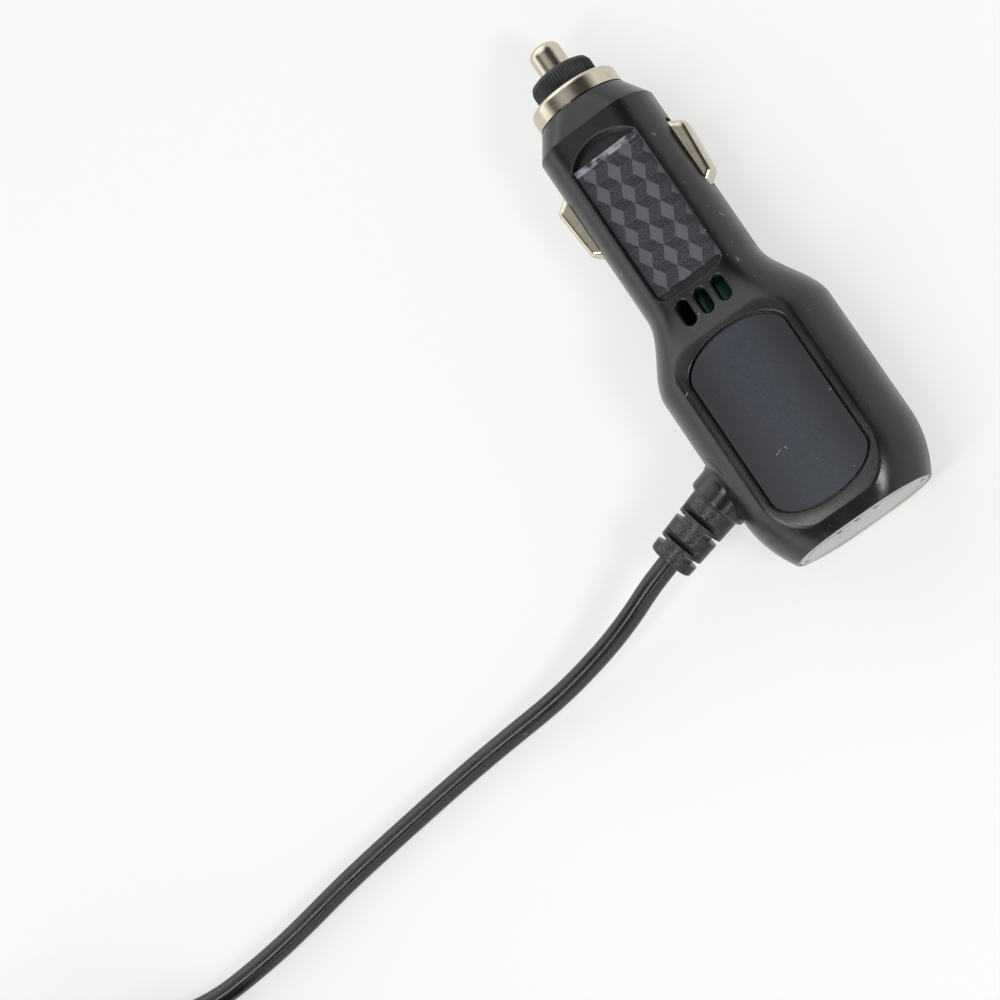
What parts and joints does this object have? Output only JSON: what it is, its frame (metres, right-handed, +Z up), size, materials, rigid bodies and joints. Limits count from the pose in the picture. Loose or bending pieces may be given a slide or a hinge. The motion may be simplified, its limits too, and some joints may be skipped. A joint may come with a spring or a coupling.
{
  "type": "car charger plug",
  "caption": "Charger plug for a car lighter socket: sprung tip and side contacts, round barrel, flat-faced head with an oval panel, a pale end plate and a fixed lead.",
  "frame": {"origin": "middle of the head's flat underside, under the middle of the oval panel", "axes": "+X along the plug towards its nose, +Y to the side where the lead leaves, +Z up"},
  "size_m": [0.1448, 0.2058, 0.0246],
  "materials": {
    "housing_plastic": "satin moulded, fine grain",
    "nickel": "nickel plated, softly worn",
    "cap_plastic": "moulded, knurled",
    "spring_steel": "bright drawn wire",
    "fuse_glass": "clear",
    "fuse_metal": "plated",
    "terminal_brass": "stamped",
    "patterned_film": "printed blocks pattern, satin",
    "panel_film": "satin, fine grain",
    "circuit_board": "solder mask",
    "chip_black": "matte",
    "ferrite": "sintered",
    "copper_winding": "enamelled",
    "capacitor_can": "drawn",
    "plate_plastic": "moulded, satin",
    "relief_rubber": "moulded, worn on its webs",
    "lead_jacket": "satin",
    "tie_strap": "woven",
    "plug_plastic": "moulded",
    "plug_steel": "plated",
    "plug_tongue": "moulded"
  },
  "bodies": {
    "housing": {"housing_upper": "housing_plastic", "housing_lower": "housing_plastic", "nose_ring": "nickel", "tip_spring": "spring_steel", "contact_spring_left": "spring_steel", "contact_spring_right": "spring_steel", "fuse_glass": "fuse_glass", "fuse_caps": "fuse_metal", "fuse_wire": "fuse_metal", "fuse_terminal": "terminal_brass", "grip_inlay": "patterned_film", "head_panel": "panel_film", "main_board": "circuit_board", "converter_chip": "chip_black", "inductor_core": "ferrite", "inductor_winding": "copper_winding", "capacitor_input": "capacitor_can", "capacitor_output": "capacitor_can", "end_plate": "plate_plastic", "strain_relief": "relief_rubber", "lead": "lead_jacket", "lead_coil": "lead_jacket", "lead_tail": "lead_jacket", "coil_tie": "tie_strap", "lead_plug_body": "plug_plastic", "lead_plug_shell": "plug_steel", "lead_plug_tongue": "plug_tongue"},
    "nose_cap": {"nose_cap": "cap_plastic"},
    "tip": {"centre_tip": "nickel"},
    "contact_left": {"contact_left": "nickel"},
    "contact_right": {"contact_right": "nickel"}
  },
  "joints": [
    {"name": "cap_pull", "type": "slide", "parent": "housing", "child": "nose_cap", "axis": [1, 0, 0], "range_m": [0, 0.015]},
    {"name": "tip_press", "type": "slide", "parent": "nose_cap", "child": "tip", "axis": [-1, 0, 0], "range_m": [0, 0.0025], "stiffness_N_per_m": 1500, "springref_m": -0.001, "deforming": ["tip_spring"]},
    {"name": "contact_left_press", "type": "slide", "parent": "housing", "child": "contact_left", "axis": [0, -1, 0], "range_m": [0, 0.0015], "stiffness_N_per_m": 1200, "springref_m": -0.0005, "deforming": ["contact_spring_left"]},
    {"name": "contact_right_press", "type": "slide", "parent": "housing", "child": "contact_right", "axis": [0, 1, 0], "range_m": [0, 0.0015], "stiffness_N_per_m": 1200, "springref_m": -0.0005, "deforming": ["contact_spring_right"]}
  ]
}
